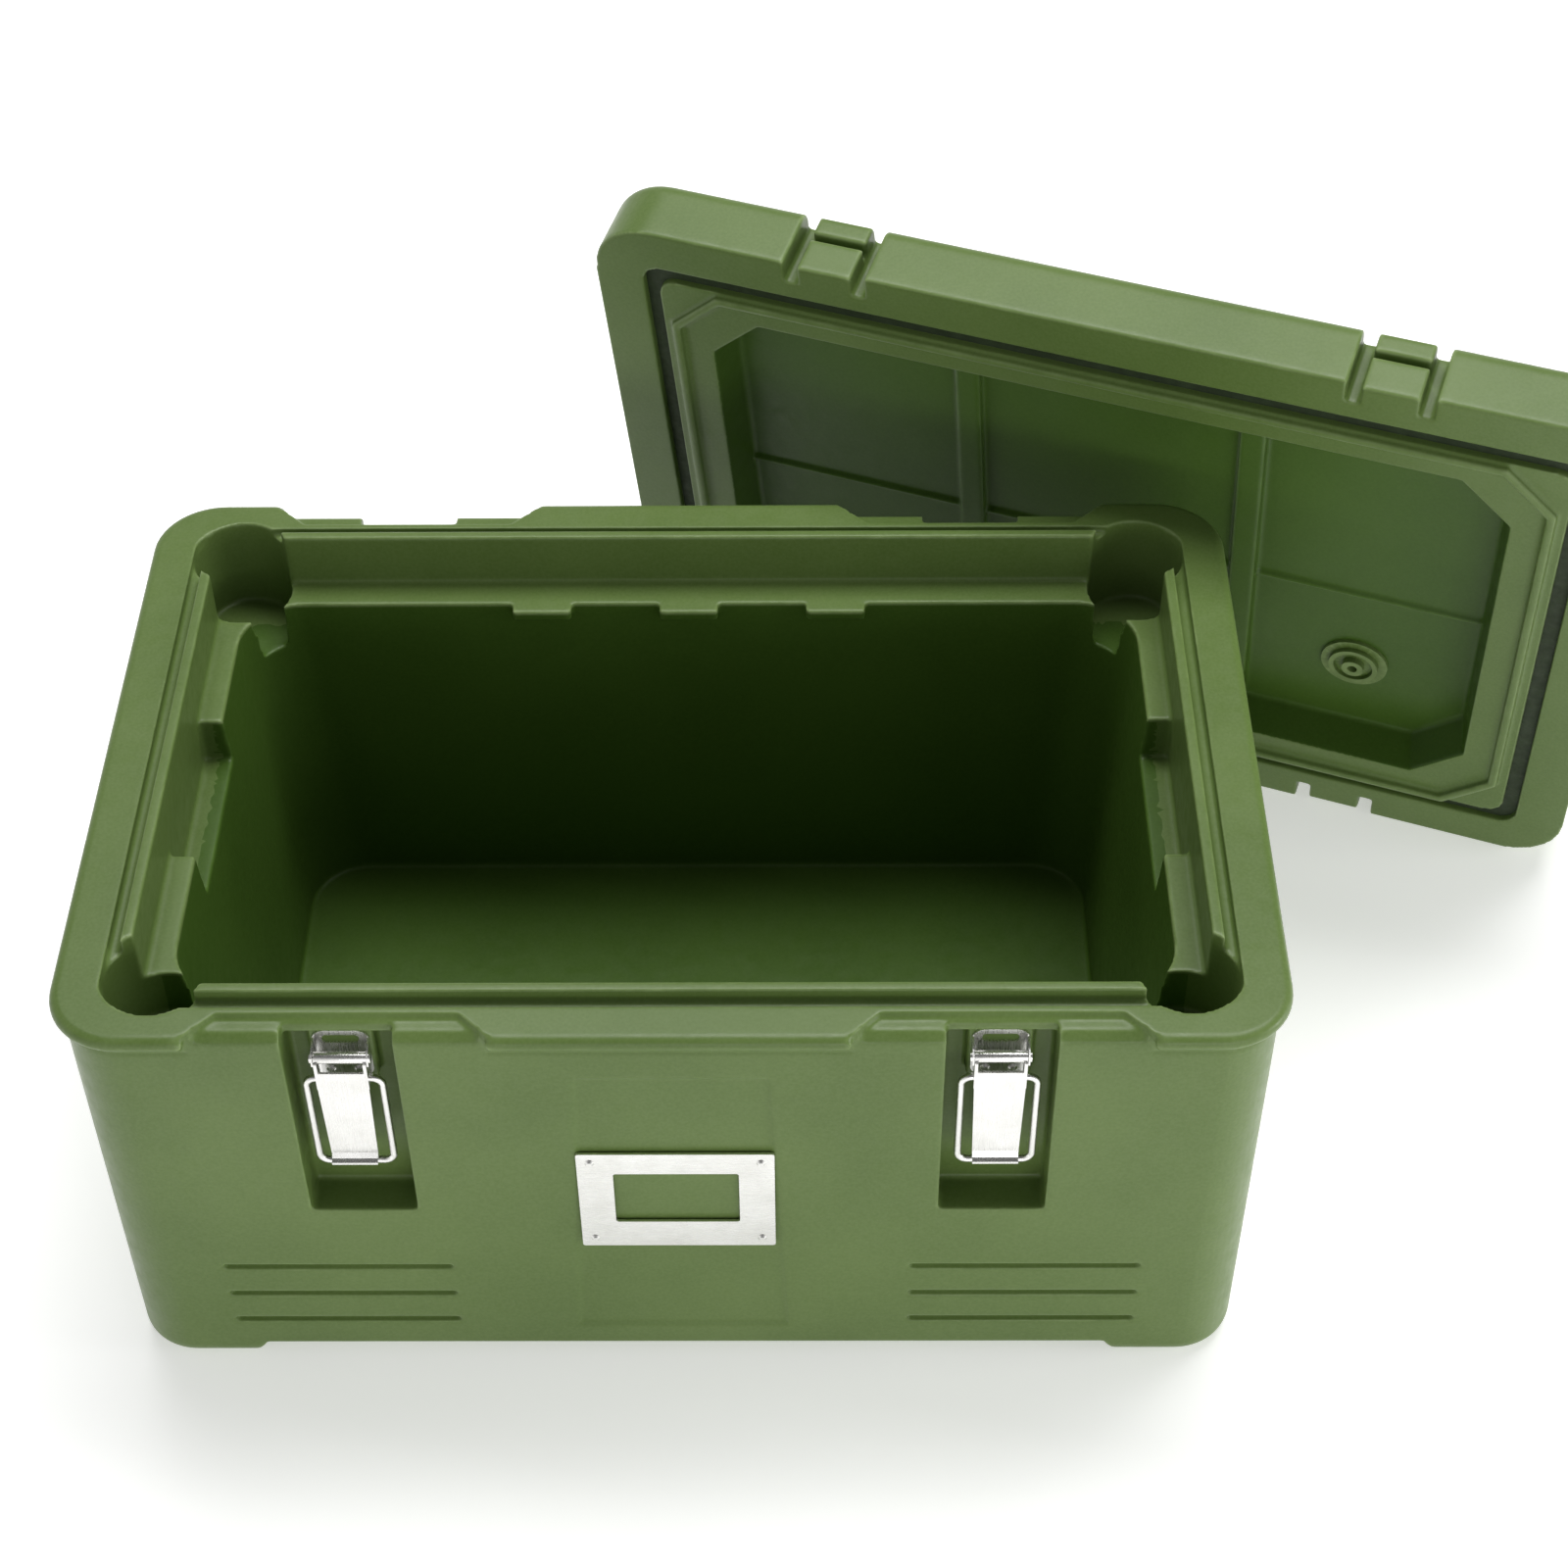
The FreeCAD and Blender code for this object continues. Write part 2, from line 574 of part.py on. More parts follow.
    # latch recesses, their mounting pads and the rivet holes
    for side in LONG_SIDES:
        tag = "Front" if side < 0 else "Rear"
        slab(tub, "Recess" + tag, side, "recess_back", half_depth + 1,
             recess_outline("recess_low", "recess_roof", dim("recess_width") / 2), True)
        slab(tub, "Notch" + tag, side, "notch_back", half_depth + 1,
             recess_outline("recess_roof", dim("rim_height") + 1, dim("recess_width") / 2), True)
        slab(tub, "Pad" + tag, side, dim("recess_back") - 1, "pad_face",
             recess_outline("pad_low", "recess_roof", "pad_half"))
        holes = new_sketch(tub, "RivetHoles" + tag, "XZ_Plane", -dim("pad_face") * side)
        for k, x in enumerate((-dim("latch_reach"), dim("latch_reach"))):
            for i, across in enumerate((-9, 9)):
                circle(holes, x + across, dim("pad_low") + 10, 2, "h%d%d" % (k, i))
        extrude(tub, holes, 7, True, side > 0)
        slab(tub, "Lines" + tag, side, wall_side - "line_drop", wall_side + 1, line_outline, True)
    # faint panel and rivet holes behind the card frame
    panel = new_sketch(tub, "Panel", "XZ_Plane", wall_side + 1)
    polygon(panel, [(-dim("panel_half_low"), "panel_low"), ("panel_half_low", "panel_low"),
                    ("panel_half_top", "panel_top"), (-dim("panel_half_top"), "panel_top")])
    extrude(tub, panel, dim("panel_drop") + 1, True)
    holes = new_sketch(tub, "CardHoles", "XZ_Plane", wall_side)
    for k, (x, z) in enumerate(card_rivets()):
        circle(holes, x, z, 1.6, "h%d" % k)
    extrude(tub, holes, 5, True)
    # handle recesses in the end walls
    for side in ENDS:
        tag = "Left" if side < 0 else "Right"
        end_slab(tub, "Grip" + tag, side, wall_end - "grip_drop", wall_end + 1, 0,
                 dim("grip_low") + dim("grip_tall") / 2, "grip_width", "grip_tall", 10, True)
        holes = new_sketch(tub, "GripHoles" + tag, "YZ_Plane", (wall_end - "grip_drop") * side)
        for k, (y, z) in enumerate(handle_rivets()):
            circle(holes, y, z, 2, "h%d" % k)
        extrude(tub, holes, 5, True, side < 0)
    return tub


def card_rivets():
    """Where the card frame is riveted, in X and Z."""
    x = dim("card_width") / 2 - 9
    low = dim("card_low") + 9
    high = dim("card_low") + "card_tall" - 9
    return [(-x, low), (x, low), (x, high), (-x, high)]


def handle_rivets():
    """Where a handle bracket is riveted, in Y and Z."""
    return [(y * 1.0, dim("handle_height") + 1) for y in (-30, 30)]


def make_foam():
    """Foam that fills the double wall: a tub that keeps one skin from every outer and inner face."""
    skin = dim("skin")
    foam = new_body("tub_foam")
    block(foam, "FoamOutside", dim("foot_height") + skin, dim("pocket_floor") - skin, 0, 0,
          (wall_end - skin) * 2, (wall_side - skin) * 2, dim("corner_radius") - "wall_inset" - skin)
    loft_cut(foam, "FoamInside", dim("floor_height") - skin, dim("pocket_floor") - skin + 1,
             (dim("floor_length") + skin * 2, dim("floor_depth") + skin * 2),
             (dim("cavity_length") + skin * 2, dim("cavity_depth") + skin * 2), 44)
    for side in LONG_SIDES:
        tag = "Front" if side < 0 else "Rear"
        slab(foam, "FoamRecess" + tag, side, dim("recess_back") - skin, half_depth,
             recess_outline(dim("recess_low") - skin, "rim_height", dim("recess_width") / 2 + skin), True)
    for side in ENDS:
        end_slab(foam, "FoamGrip%s" % ("Left" if side < 0 else "Right"), side, wall_end - "grip_drop" - skin,
                 wall_end, 0, dim("grip_low") + dim("grip_tall") / 2, dim("grip_width") + skin * 2,
                 dim("grip_tall") + skin * 2, 12, True)
    return foam


# ---------------------------------------------------------------- draw latches
def latch_place(x, side):
    """Latch pieces are made for the front at x = 0 and put in place by this."""
    turn = Rotation() if side < 0 else Rotation(Vector(0, 0, 1), 180)
    return Placement(Vector(dim(x).value, 0, 0), turn)


def put(thing, x, side):
    thing.Placement = latch_place(x, side)
    bind(thing, "Placement.Base.x", x)


def make_latch(tag, x, side):
    pin_y, pin_z = -dim("pin_side"), dim("pin_height")
    # base plate with a window in its rounded head and two ears for the pin
    base = new_body("latch_base_" + tag)
    plate = new_sketch(base, "Plate" + tag, "XZ_Plane", "pad_face")
    low = dim("pad_low") + 2
    rectangle(plate, 0, (low + "plate_top") / 2, dim("plate_half") * 2, dim("plate_top") - low, 9)
    extrude(base, plate, "plate_gauge")
    face = dim("pad_face") + "plate_gauge"
    for name, sign in (("Left", -1), ("Right", 1)):
        ear = new_sketch(base, "Ear" + name + tag, "YZ_Plane", dim("plate_half") * sign)
        polygon(ear, [(-face + 0.5, pin_z - 8), (-dim("pin_side") - 4.5, pin_z - 4),
                      (-dim("pin_side") - 4.5, pin_z + 4), (-face + 0.5, pin_z + 9)])
        extrude(base, ear, 1.2, False, sign > 0)
    window = new_sketch(base, "Window" + tag, "XZ_Plane", face)
    rectangle(window, 0, dim("plate_top") - 8, 24, 7.5, 3)
    extrude(base, window, dim("plate_gauge") + 0.1, True)
    bore = new_sketch(base, "EarBore" + tag, "YZ_Plane", -dim("plate_half") - 1)
    circle(bore, pin_y, pin_z, "pin_radius")
    extrude(base, bore, dim("plate_half") * 2 + 2, True, True)
    holes = new_sketch(base, "BaseHoles" + tag, "XZ_Plane", face)
    for k, across in enumerate((-9, 9)):
        circle(holes, across, dim("pad_low") + 10, 2, "h%d" % k)
    extrude(base, holes, dim("plate_gauge") + 0.1, True)
    # hinge pin with a head at each end
    reach = dim("plate_half")
    shaft = cylinder("Shaft" + tag, "pin_radius", reach * 2, (-reach, pin_y, pin_z), "x")
    heads = [cylinder("Head%d" % k + tag, dim("pin_radius") + 1.2, 1.2, (reach * s, pin_y, pin_z),
                      "x" if s > 0 else "-x") for k, s in enumerate((-1, 1))]
    pin = register(fuse("latch_pin_" + tag, [shaft] + heads), "latch_pin_" + tag)
    # lever: rolled barrel, two arms, a tapered plate with a turned-out foot, and two lugs for the bail
    lever = new_body("latch_lever_" + tag)
    barrel = new_sketch(lever, "Barrel" + tag, "YZ_Plane", 0)
    circle(barrel, pin_y, pin_z, "barrel_radius")
    extrude(lever, barrel, dim("lever_half") * 2, False, False, 0, True)
    side_face = dim("lever_face")
    for name, sign in (("Left", -1), ("Right", 1)):
        arm = new_sketch(lever, "Arm" + name + tag, "YZ_Plane", dim("lever_half") * sign)
        outer = side_face + "lever_gauge"
        polygon(arm, [(-side_face + 4.5, pin_z - 1), (-outer, pin_z - 1), (-outer, dim("bail_height") - 6),
                      (-side_face + 6, dim("bail_height") - 5), (-side_face + 6, dim("bail_height") + 5)])
        extrude(lever, arm, 2.2, False, sign > 0)
    sheet_side = new_sketch(lever, "LeverPlate" + tag, "XZ_Plane", side_face)
    polygon(sheet_side, [(-dim("lever_half"), "lever_top"), (-dim("lever_half_low"), "lever_low"),
                         ("lever_half_low", "lever_low"), ("lever_half", "lever_top")])
    extrude(lever, sheet_side, "lever_gauge")
    foot = new_sketch(lever, "LeverFoot" + tag, "YZ_Plane", 0)
    polygon(foot, [(-side_face, dim("lever_low") + 6), (-side_face, "lever_low"),
                   (-side_face - 5, dim("lever_low") - 1.5), (-side_face - 7, dim("lever_low") - 0.5),
                   (-side_face - 7, dim("lever_low") + 1.5), (-side_face - 4, dim("lever_low") + 2.5),
                   (-side_face - "lever_gauge", dim("lever_low") + 6)])
    extrude(lever, foot, dim("lever_half_low") * 2, False, False, 0, True)
    bore = new_sketch(lever, "BarrelBore" + tag, "YZ_Plane", 0)
    circle(bore, pin_y, pin_z, dim("pin_radius") + "running_gap")
    extrude(lever, bore, dim("lever_half") * 2 + 2, True, False, 0, True)
    bore = new_sketch(lever, "LugBore" + tag, "YZ_Plane", 0)
    circle(bore, -dim("bail_side"), "bail_height", dim("wire_radius") + "running_gap")
    extrude(lever, bore, dim("lever_half") * 2 + 2, True, False, 0, True)
    # wire bail: one bent wire whose ends turn in the lever's lugs
    bail = wire_loop("latch_bail_" + tag, "XZ_Plane", dim("bail_side"), "YZ_Plane", -dim("bail_side"),
                     dim("bail_height"), dim("bail_half"), 14.9, dim("bail_length"), dim("bail_bend"),
                     dim("wire_radius"))
    for thing in (base, pin, lever, bail):
        put(thing, x, side)


def wire_loop(name, role, offset, end_role, end_u, height, half, stub, length, bend, radius):
    """A wire that starts inwards at stub, runs out to half, down by length, across and back up again."""
    body = new_body(name)
    path = new_sketch(body, name + "Path", role, offset)
    h, r, z = half.value, bend.value, height.value
    low = z - length.value
    mid = math.sqrt(0.5) * r
    lines = [((-stub, z), (-h + r, z)), ((-h, z - r), (-h, low + r)), ((-h + r, low), (h - r, low)),
             ((h, low + r), (h, z - r)), ((h - r, z), (stub, z))]
    centres = [((-h + r, z - r), 90, 180), ((-h + r, low + r), 180, 270), ((h - r, low + r), 270, 360),
               ((h - r, z - r), 0, 90)]
    for (a, b), (c, d) in lines:
        path.addGeometry(Part.LineSegment(Vector(a, b, 0), Vector(c, d, 0)), False)
    for (a, b), start, end in centres:
        ring = Part.Circle(Vector(a, b, 0), Vector(0, 0, 1), r)
        path.addGeometry(Part.ArcOfCircle(ring, math.radians(start), math.radians(end)), False)
    # arcs 5 and 8 run anticlockwise, so their ends meet the lines in the other order
    for line, vertex, arc, arc_vertex in ((0, 2, 5, 1), (1, 1, 5, 2), (1, 2, 6, 1), (2, 1, 6, 2),
                                          (2, 2, 7, 1), (3, 1, 7, 2), (3, 2, 8, 1), (4, 1, 8, 2)):
        path.addConstraint(Sketcher.Constraint("Tangent", line, vertex, arc, arc_vertex))
    for line, kind in enumerate(("Horizontal", "Vertical", "Horizontal", "Vertical", "Horizontal")):
        path.addConstraint(Sketcher.Constraint(kind, line))
    for arc in (6, 7, 8):
        path.addConstraint(Sketcher.Constraint("Equal", 5, arc))
    named(path, Sketcher.Constraint("Radius", 5, r), "bend", bend)
    pin_point(path, "start", 0, 1, -stub, height)
    pin_point(path, "stop", 4, 2, stub, height)
    named(path, Sketcher.Constraint("DistanceX", -1, 1, 1, 1, -h), "left", -half)
    named(path, Sketcher.Constraint("DistanceX", -1, 1, 3, 1, h), "right", half)
    named(path, Sketcher.Constraint("DistanceY", -1, 1, 2, 1, low), "low", height - length)
    profile = new_sketch(body, name + "Wire", end_role, -stub)
    circle(profile, end_u, height, radius)
    pipe = body.newObject("PartDesign::AdditivePipe", name + "Pipe")
    pipe.Profile = profile
    pipe.Spine = path
    body.Tip = pipe
    path.Visibility = False
    profile.Visibility = False
    return body


def make_latches():
    rivets = []
    for k, (x, side) in enumerate(all_latches()):
        tag = ("front" if side < 0 else "rear") + ("_left" if x.value < 0 else "_right")
        # the rear latches face the other way, so the piece is turned, not mirrored
        make_latch(tag, x, side)
        for i, across in enumerate((-9, 9)):
            surface = (dim("pad_face") + "plate_gauge") * side
            rivets.append(rivet("LatchRivet%d%d" % (k, i), (x + across, surface, dim("pad_low") + 10),
                                "y" if side < 0 else "-y", 3.2, 1.95, dim("plate_gauge") + 6.5))
    group("latch_rivets", rivets)


# ---------------------------------------------------------------- card frame
def make_card_frame():
    frame = new_body("label_frame")
    plate = new_sketch(frame, "CardPlate", "XZ_Plane", wall_side)
    rectangle(plate, 0, dim("card_low") + dim("card_tall") / 2, "card_width", "card_tall", 2)
    extrude(frame, plate, "card_gauge")
    window = new_sketch(frame, "CardWindow", "XZ_Plane", wall_side + "card_gauge")
    rectangle(window, 0, dim("window_low") + dim("window_tall") / 2, "window_width", "window_tall", 2)
    extrude(frame, window, dim("card_gauge") + 0.1, True)
    holes = new_sketch(frame, "CardFrameHoles", "XZ_Plane", wall_side + "card_gauge")
    for k, (x, z) in enumerate(card_rivets()):
        circle(holes, x, z, 1.6, "h%d" % k)
    extrude(frame, holes, dim("card_gauge") + 0.1, True)
    surface = -(wall_side + "card_gauge")
    group("label_rivets", [rivet("CardRivet%d" % k, (x, surface, z), "y", 3, 1.55, dim("card_gauge") + 4)
                           for k, (x, z) in enumerate(card_rivets())])


# ---------------------------------------------------------------- end handles
def make_handles():
    rivets = []
    back = wall_end - "grip_drop"
    axis_x, axis_z = dim("handle_side"), dim("handle_height")
    for side in ENDS:
        tag = "left" if side < 0 else "right"
        turn = Rotation() if side > 0 else Rotation(Vector(0, 0, 1), 180)
        # bracket: a plate on the recess back with two ears that hold the ends of the rod
        bracket = new_body("handle_bracket_" + tag)
        end_slab(bracket, "BracketPlate" + tag, 1, back, back + 2, 0, axis_z, 84, 18, 3)
        for k, y in enumerate((-38, 38)):
            end_slab(bracket, "BracketEar%d" % k + tag, 1, back + 1, axis_x + 6, y, axis_z, 4, 14)
        bore = new_sketch(bracket, "BracketBore" + tag, "XZ_Plane", 45)
        circle(bore, axis_x, axis_z, dim("rod_radius") + "running_gap")
        extrude(bracket, bore, 90, True)
        holes = new_sketch(bracket, "BracketHoles" + tag, "YZ_Plane", back + 2)
        for k, (y, z) in enumerate(handle_rivets()):
            circle(holes, y, z, 2, "h%d" % k)
        extrude(bracket, holes, 2.1, True)
        rod = wire_loop("handle_rod_" + tag, "YZ_Plane", axis_x, "XZ_Plane", axis_x, axis_z,
                        dim("handle_half"), 35, dim("handle_length"), dim(9), dim("rod_radius"))
        grip = doc.addObject("Part::Cut", "handle_grip_" + tag)
        low = axis_z - "handle_length"
        length = (dim("handle_half") - 11) * 2
        grip.Base = cylinder("GripTube" + tag, "tube_radius", length, (axis_x, -length / 2, low), "y")
        grip.Tool = cylinder("GripBore" + tag, "rod_radius", length, (axis_x, -length / 2, low), "y")
        register(grip, "handle_grip_" + tag)
        for thing in (bracket, rod, grip):
            thing.Placement = Placement(Vector(0, 0, 0), turn)
        for k, (y, z) in enumerate(handle_rivets()):
            rivets.append(rivet("HandleRivet%d" % k + tag, ((back + 2) * side, dim(y) * side, z),
                                "-x" if side > 0 else "x", 3.4, 1.95, 6.5))
    group("handle_rivets", rivets)


# --------------------------------------------------- the lid, made closed with its rim plane at z = 0
def make_lid():
    lid = new_body("lid_shell")
    top = dim("lid_thick")
    block(lid, "LidBlock", 0, top, 0, 0, "box_length", "box_depth", "corner_radius")
    round_edges(lid, "LidTop", "lid_round", lambda edge: edge.BoundBox.ZMin > VALUES["lid_thick"] - 0.01)
    # shallow raised panel on the outside, set in from the edges
    block(lid, "LidCrown", top - 1, top + 2, 0, 0, dim("box_length") - 120, dim("box_depth") - 120, 30)
    # channels for the bail legs, and between them the block with the shelf that a bail hooks on
    for side in LONG_SIDES:
        tag = "Front" if side < 0 else "Rear"

        def channels(sketch):
            for k, x in enumerate((-dim("latch_reach"), dim("latch_reach"))):
                for i, sign in enumerate((-1, 1)):
                    rectangle(sketch, x + dim("channel_half") * sign, top / 2, "channel_width", top + 4, 0,
                              "n%d%d" % (k, i))

        def shelves(sketch):
            for k, x in enumerate((-dim("latch_reach"), dim("latch_reach"))):
                rectangle(sketch, x, dim("keeper_shelf") + dim("keeper_slot") / 2, dim("channel_half") * 2,
                          "keeper_slot", 0, "k%d" % k)

        def faces(sketch):
            for k, x in enumerate((-dim("latch_reach"), dim("latch_reach"))):
                rectangle(sketch, x, top / 2, dim("channel_half") * 2, top + 4, 0, "f%d" % k)

        slab(lid, "Channels" + tag, side, "channel_back", half_depth + 1, channels, True)
        slab(lid, "Shelves" + tag, side, "keeper_back", half_depth + 1, shelves, True)
        slab(lid, "Faces" + tag, side, half_depth - 3, half_depth + 1, faces, True)
    # seal groove: a ring sunk from the rim plane, left round a core that is put back
    gap = 2
    block(lid, "LidGroove", 0, "gasket_groove", 0, 0,
          dim("lip_length") + gap * 2, dim("lip_depth") + gap * 2, 16, True)
    block(lid, "LidCore", 0, "gasket_groove", 0, 0, dim("lip_length") - dim("lip_width") * 2 - gap * 2,
          dim("lip_depth") - dim("lip_width") * 2 - gap * 2, 14)
    # locating bead that drops inside the tub's lip
    bead = new_sketch(lid, "Bead", "XY_Plane", -dim("bead_drop"))
    cut_corners(bead, "bead_length", "bead_depth", "corner_cut")
    extrude(lid, bead, dim("bead_drop") + 1)
    inside = new_sketch(lid, "BeadInside", "XY_Plane", 0)
    cut_corners(inside, dim("bead_length") - dim("bead_width") * 2, dim("bead_depth") - dim("bead_width") * 2,
                dim("corner_cut") - 4)
    extrude(lid, inside, "bead_drop", True)
    # sunken inner panel with two cross ribs and a fine ridge along the middle
    loft_cut(lid, "Tray", 0, "tray_drop", ("tray_length", "tray_depth"),
             ("tray_length_top", "tray_depth_top"), "corner_cut", cut_corners)
    for k, sign in enumerate((-1, 1)):
        block(lid, "Rib%d" % k, dim("tray_drop") - "rib_rise", dim("tray_drop") + 1,
              dim("rib_reach") * sign, 0, "rib_width", dim("tray_depth_top") - 4, 3)
    block(lid, "Ridge", dim("tray_drop") - 3.5, dim("tray_drop") + 1, 0, "ridge_side",
          dim("tray_length_top") - 4, 4)
    # valve: a through hole and a round well outside for the knob
    block(lid, "ValveWell", top - 10, top + 2, "valve_x", "valve_y", 52, 52, 25, True)
    hole = new_sketch(lid, "ValveHole", "XY_Plane", top + 3)
    circle(hole, "valve_x", "valve_y", "valve_radius")
    extrude(lid, hole, top + 3, True)
    foam = new_body("lid_foam")
    skin = dim("skin")
    block(foam, "LidFoam", dim("tray_drop") + skin, top - skin, 0, 0, dim("tray_length_top") - 8,
          dim("tray_depth_top") - 8, 46)
    block(foam, "LidFoamWell", dim("tray_drop") + skin, top - skin, "valve_x", "valve_y", 64, 64, 25, True)
    gasket = new_body("lid_gasket")
    low = dim("gasket_groove") - "gasket_height"
    block(gasket, "GasketOuter", low, "gasket_groove", 0, 0,
          dim("lip_length") + gap * 2, dim("lip_depth") + gap * 2, 16)
    block(gasket, "GasketInner", low, "gasket_groove", 0, 0,
          dim("lip_length") - dim("lip_width") * 2 - gap * 2,
          dim("lip_depth") - dim("lip_width") * 2 - gap * 2, 14, True)
    # valve: flanged stem from outside, seal ring, nut inside, knob on top
    at = (dim("valve_x"), dim("valve_y"))
    seat = top - 10
    stem = cylinder("ValveStem", "valve_radius", seat - "tray_drop" + 9, at + (dim("tray_drop") - 9,))
    flange = cylinder("ValveFlange", 17, 2.5, at + (seat + 1.6,))
    shoulder = cylinder("ValveShoulder", 11, 1.6, at + (seat,))
    body = doc.addObject("Part::Cut", "valve_body")
    body.Base = fuse("ValveOuter", [stem, flange, shoulder])
    body.Tool = cylinder("ValveBore", 4, 60, at + (0,))
    register(body, "valve_body")
    ring = doc.addObject("Part::Cut", "valve_seal")
    ring.Base = cylinder("SealOuter", 15, 1.6, at + (seat,))
    ring.Tool = cylinder("SealInner", 11, 1.6, at + (seat,))
    register(ring, "valve_seal")
    nut = doc.addObject("Part::Cut", "valve_nut")
    disc = cylinder("NutDisc", "nut_radius", 7, at + (dim("tray_drop") - 7,))
    flange = cylinder("NutFlange", dim("nut_radius") + 7, 3, at + (dim("tray_drop") - 3,))
    bore = cylinder("NutBore", "valve_radius", 8, at + (dim("tray_drop") - 7.5,))
    dish = cylinder("NutDish", dim("nut_radius") - 4, 4, at + (dim("tray_drop") - 7.5,))
    nut.Base = fuse("NutOuter", [disc, flange])
    nut.Tool = fuse("NutInner", [bore, dish])
    register(nut, "valve_nut")
    knob = new_body("valve_knob")
    low = seat + 4.4
    disc = new_sketch(knob, "KnobDisc", "XY_Plane", low)
    circle(disc, "valve_x", "valve_y", "knob_radius")
    extrude(knob, disc, 5)
    spindle = new_sketch(knob, "KnobStem", "XY_Plane", low)
    circle(spindle, "valve_x", "valve_y", dim(4) - "running_gap")
    extrude(knob, spindle, 20, False, True)
    for k in range(8):
        angle = math.radians(45 * k)
        cut = new_sketch(knob, "Flute%d" % k, "XY_Plane", low + 5)
        reach = VALUES["knob_radius"] + 0.6
        circle(cut, dim("valve_x") + reach * math.cos(angle), dim("valve_y") + reach * math.sin(angle), 2.4)
        extrude(knob, cut, 5, True)
    slot = new_sketch(knob, "KnobSlot", "XY_Plane", low + 5)
    rectangle(slot, "valve_x", "valve_y", 20, 3, 1.4)
    extrude(knob, slot, 2, True)
    # stand the closed lid up behind the box: tip it back onto its rear edge, then turn it
    yaw, lean = VALUES["lid_yaw"], VALUES["lid_lean"]
    turn = Rotation(Vector(0, 0, 1), -yaw) * Rotation(Vector(1, 0, 0), lean - 90)
    for thing in (lid, foam, gasket, body, ring, nut, knob):
        thing.Placement = Placement(Vector(*[VALUES["lid_place_" + c] for c in "xyz"]), turn)
        for c in "xyz":
            bind(thing, "Placement.Base." + c, "lid_place_" + c)


# ---------------------------------------------------------------- build, check and write
def main():
    tub = make_tub()
    make_foam()
    make_card_frame()
    make_latches()
    make_handles()
    make_lid()
    doc.recompute()
    # the foam's room inside the double wall
    foam = [part for part in PARTS if part.Label == "tub_foam"][0]
    lid = [part for part in PARTS if part.Label == "lid_shell"][0]
    lid_foam = [part for part in PARTS if part.Label == "lid_foam"][0]
    hollow = {}
    for shell, core in ((tub, foam), (lid, lid_foam)):
        cut = doc.addObject("Part::Cut", shell.Name + "_hollow")
        cut.Base = shell
        cut.Tool = core
        hollow[shell.Name] = cut
    doc.recompute()
    bad = [thing.Label for thing in doc.Objects if {"Invalid", "Error"} & set(thing.State)]
    if bad:
        raise RuntimeError("failed objects: %s" % bad)
    os.makedirs("parts", exist_ok=True)
    for part in PARTS:
        kept = hollow.get(part.Name, part)
        shape = kept.Shape
        if shape.isNull() or not shape.isValid() or not shape.Solids:
            raise RuntimeError(part.Label + " has no valid solid")
        shape.exportStep("parts/%s.step" % part.Label)
        box = shape.BoundBox
        print("%-26s solids %2d  volume %12.1f  z %7.1f to %7.1f" % (
            part.Label, len(shape.Solids), shape.Volume, box.ZMin, box.ZMax))


main()
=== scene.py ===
import math

import bmesh
import bpy
from mathutils import Matrix, Vector


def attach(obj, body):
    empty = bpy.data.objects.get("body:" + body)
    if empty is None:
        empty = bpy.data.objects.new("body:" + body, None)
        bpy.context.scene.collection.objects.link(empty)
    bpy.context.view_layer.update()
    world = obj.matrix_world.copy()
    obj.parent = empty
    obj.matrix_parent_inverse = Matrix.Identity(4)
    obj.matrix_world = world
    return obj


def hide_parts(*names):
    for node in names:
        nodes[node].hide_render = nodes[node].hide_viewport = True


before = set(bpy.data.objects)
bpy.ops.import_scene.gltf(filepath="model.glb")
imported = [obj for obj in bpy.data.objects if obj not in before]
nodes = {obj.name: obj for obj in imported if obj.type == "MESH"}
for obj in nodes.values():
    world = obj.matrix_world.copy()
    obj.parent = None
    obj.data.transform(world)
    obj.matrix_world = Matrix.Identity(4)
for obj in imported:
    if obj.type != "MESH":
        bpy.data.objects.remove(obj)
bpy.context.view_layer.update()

MM = 0.001
scene = bpy.context.scene


# ---------------------------------------------------------------- materials
def set_range(node, low, high, new_low, new_high):
    for socket, number in (("From Min", low), ("From Max", high), ("To Min", new_low), ("To Max", new_high)):
        node.inputs[socket].default_value = number


